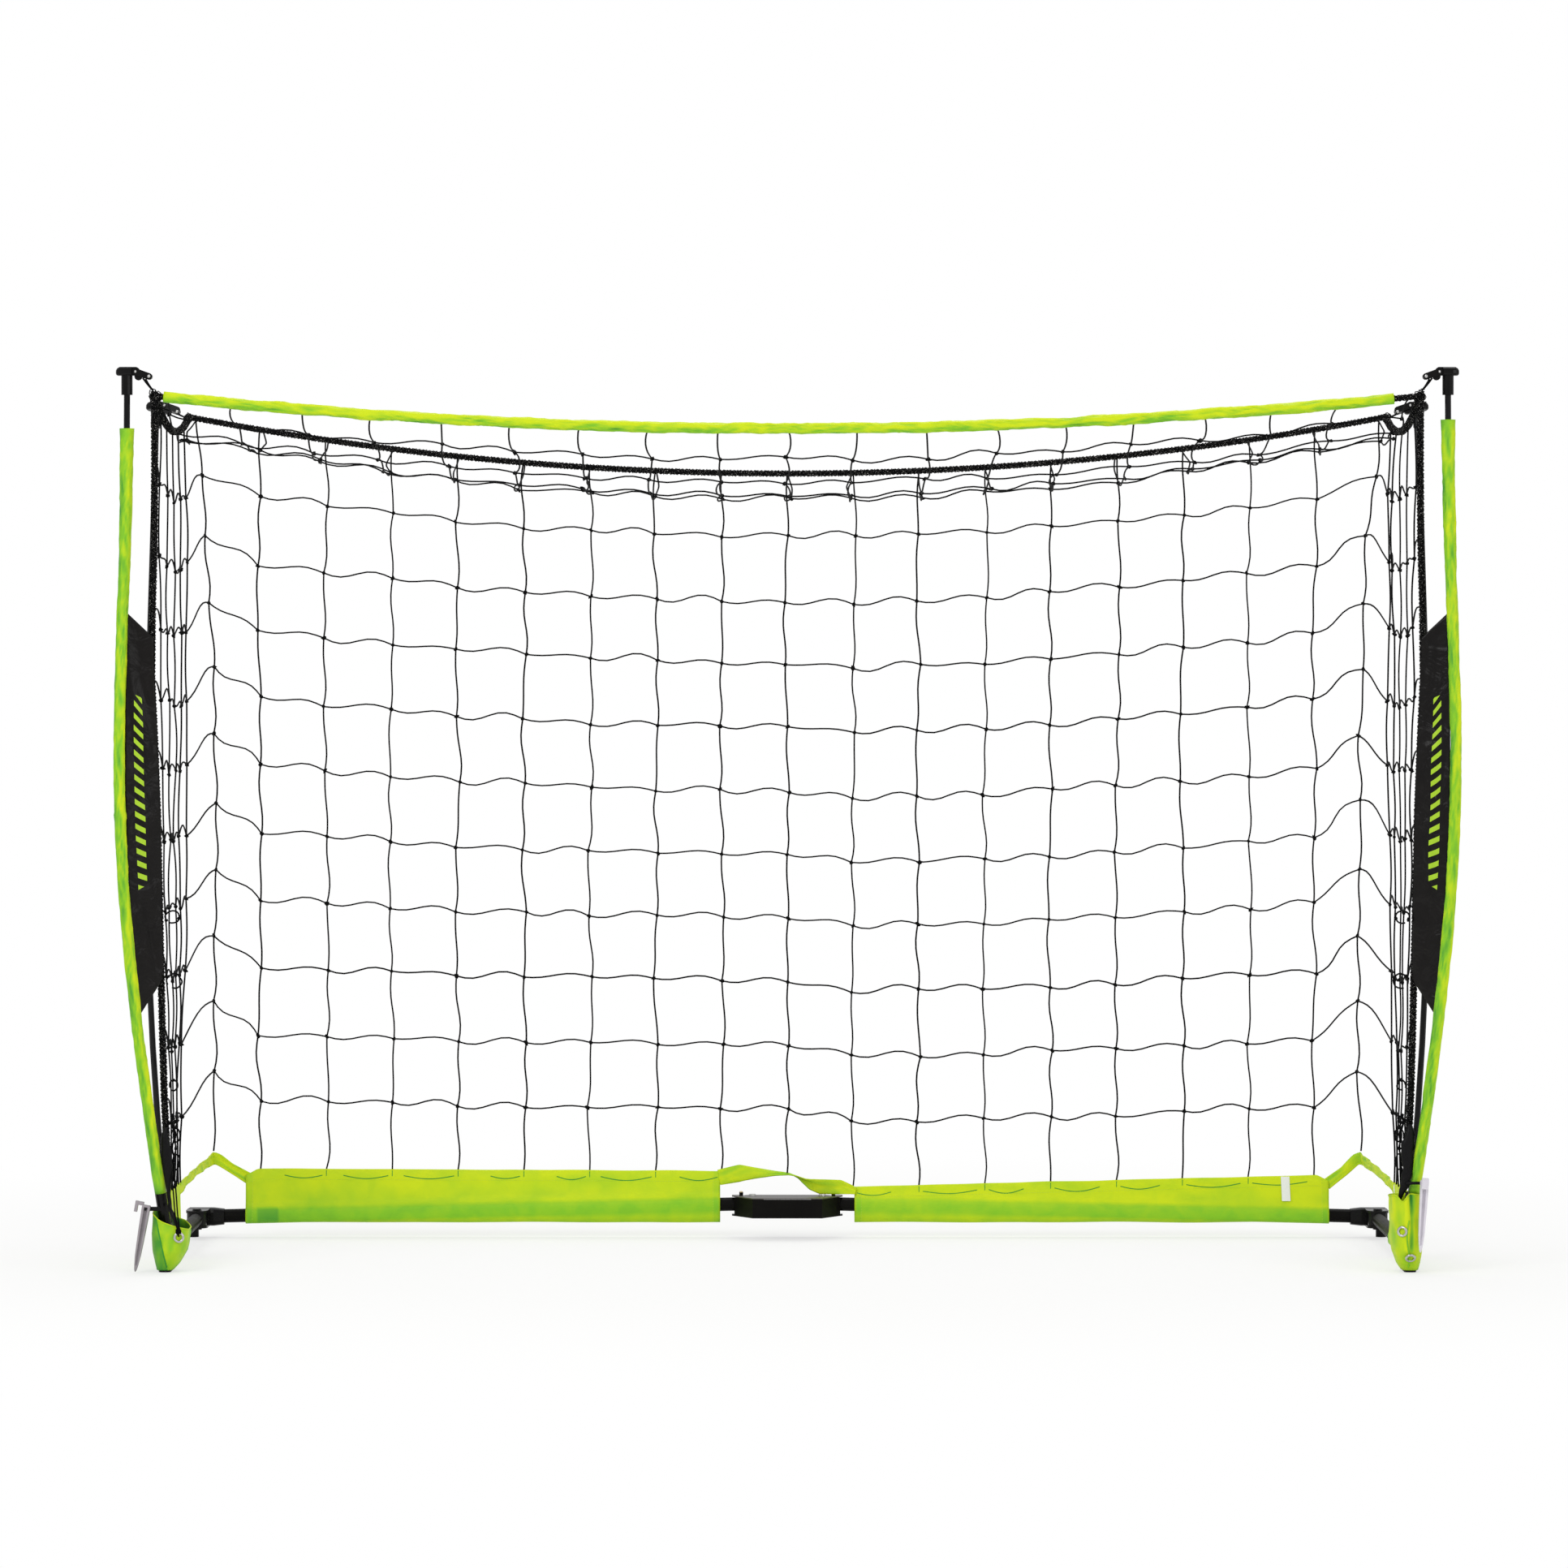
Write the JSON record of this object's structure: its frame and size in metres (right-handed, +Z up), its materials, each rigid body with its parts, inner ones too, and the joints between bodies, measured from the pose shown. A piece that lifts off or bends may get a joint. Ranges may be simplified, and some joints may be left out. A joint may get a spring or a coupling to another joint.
{
  "type": "pop-up soccer goal",
  "caption": "Folding pop-up soccer goal: tube base with a centre bracket, bowed rods with T caps, knotted net on back, sides and roof, cloth skirt and side banners.",
  "frame": {"origin": "on the ground, at the middle of the goal's width and depth", "axes": "+X to the right seen from in front of the mouth, +Y from the mouth to the back net, +Z up"},
  "size_m": [1.944, 0.6794, 1.297],
  "materials": {
    "black_steel": "satin black powder coat",
    "black_nylon": "moulded, slight sheen",
    "zinc_steel": "zinc plated",
    "fibreglass": "black pultruded rod",
    "lime_cloth": "thin woven polyester, lime",
    "black_satin": "black satin polyester",
    "net_twine": "black knotted twine and braided rope",
    "grey_plastic": "moulded",
    "pale_plastic": "moulded"
  },
  "bodies": {
    "centre_bracket": {"bracket_top_plate": "black_steel", "bracket_body": "black_steel", "pivot_rivet_left": "zinc_steel", "pivot_rivet_right": "zinc_steel", "centre_band": "lime_cloth", "back_net_centre": "net_twine"},
    "rear_bar_left": {"rear_bar_left": "black_steel", "corner_elbow_left": "black_nylon", "corner_pin_left": "black_nylon", "skirt_left": "lime_cloth", "back_net_left": "net_twine"},
    "arm_left": {"side_arm_left": "black_steel", "arm_knuckle_left": "black_nylon", "foot_hub_left": "black_nylon", "boot_left": "lime_cloth", "cord_grommet_left": "zinc_steel", "peg_grommet_left": "zinc_steel", "arm_skirt_left": "lime_cloth", "corner_band_left": "lime_cloth", "side_net_left": "net_twine", "banner_left": "black_satin", "net_tab_left": "net_twine", "front_tie_left": "net_twine", "rear_tie_left": "net_twine", "crossbar": "lime_cloth", "roof_net": "net_twine"},
    "front_pole_left": {"front_rod_left": "fibreglass", "front_sleeve_left": "lime_cloth", "front_left_tee_cap": "black_nylon", "front_left_link": "black_nylon"},
    "rear_pole_left": {"rear_rod_left": "fibreglass", "rear_left_tee_cap": "black_nylon", "rear_left_link": "black_nylon"},
    "peg_left": {"peg_left": "grey_plastic"},
    "rear_bar_right": {"rear_bar_right": "black_steel", "corner_elbow_right": "black_nylon", "corner_pin_right": "black_nylon", "skirt_right": "lime_cloth", "back_net_right": "net_twine"},
    "arm_right": {"side_arm_right": "black_steel", "arm_knuckle_right": "black_nylon", "foot_hub_right": "black_nylon", "boot_right": "lime_cloth", "cord_grommet_right": "zinc_steel", "peg_grommet_right": "zinc_steel", "arm_skirt_right": "lime_cloth", "corner_band_right": "lime_cloth", "side_net_right": "net_twine", "banner_right": "black_satin", "net_tab_right": "net_twine", "front_tie_right": "net_twine", "rear_tie_right": "net_twine"},
    "front_pole_right": {"front_rod_right": "fibreglass", "front_sleeve_right": "lime_cloth", "front_right_tee_cap": "black_nylon", "front_right_link": "black_nylon"},
    "rear_pole_right": {"rear_rod_right": "fibreglass", "rear_right_tee_cap": "black_nylon", "rear_right_link": "black_nylon"},
    "peg_right": {"peg_right": "pale_plastic"}
  },
  "joints": [
    {"name": "bar_left_fold", "type": "hinge", "parent": "centre_bracket", "child": "rear_bar_left", "pos_m": [-0.053, 0.3215, 0.0505], "axis": [0, 0, -1], "range_deg": [0, 90], "deforming": ["crossbar", "roof_net"]},
    {"name": "bar_right_fold", "type": "hinge", "parent": "centre_bracket", "child": "rear_bar_right", "pos_m": [0.053, 0.3215, 0.0505], "axis": [0, 0, 1], "range_deg": [0, 90]},
    {"name": "arm_left_fold", "type": "hinge", "parent": "rear_bar_left", "child": "arm_left", "pos_m": [-0.893, 0.2715, 0.031], "axis": [0, 0, 1], "range_deg": [0, 90], "deforming": ["corner_band_left"]},
    {"name": "arm_right_fold", "type": "hinge", "parent": "rear_bar_right", "child": "arm_right", "pos_m": [0.893, 0.2715, 0.031], "axis": [0, 0, -1], "range_deg": [0, 90], "deforming": ["corner_band_right"]},
    {"name": "front_pole_left_lift", "type": "slide", "parent": "arm_left", "child": "front_pole_left", "axis": [-0.1376, -0.1248, 0.9826], "range_m": [0, 0.04]},
    {"name": "rear_pole_left_lift", "type": "slide", "parent": "arm_left", "child": "rear_pole_left", "axis": [-0.1265, 0.5227, 0.8431], "range_m": [0, 0.04]},
    {"name": "front_pole_right_lift", "type": "slide", "parent": "arm_right", "child": "front_pole_right", "axis": [0.1376, -0.1248, 0.9826], "range_m": [0, 0.04]},
    {"name": "rear_pole_right_lift", "type": "slide", "parent": "arm_right", "child": "rear_pole_right", "axis": [0.1265, 0.5227, 0.8431], "range_m": [0, 0.04]},
    {"name": "peg_left_swing", "type": "hinge", "parent": "arm_left", "child": "peg_left", "pos_m": [-0.91902, -0.305, 0.09109], "axis": [0, 1, 0], "range_deg": [0, 70]},
    {"name": "peg_right_swing", "type": "hinge", "parent": "arm_right", "child": "peg_right", "pos_m": [0.91015, -0.3276, 0.12801], "axis": [0, -1, 0], "range_deg": [-10, 60]}
  ],
  "couplings": [
    {"joint": "bar_right_fold", "follows": "bar_left_fold", "ratio": 1},
    {"joint": "arm_left_fold", "follows": "bar_left_fold", "ratio": 1},
    {"joint": "arm_right_fold", "follows": "bar_left_fold", "ratio": 1}
  ]
}
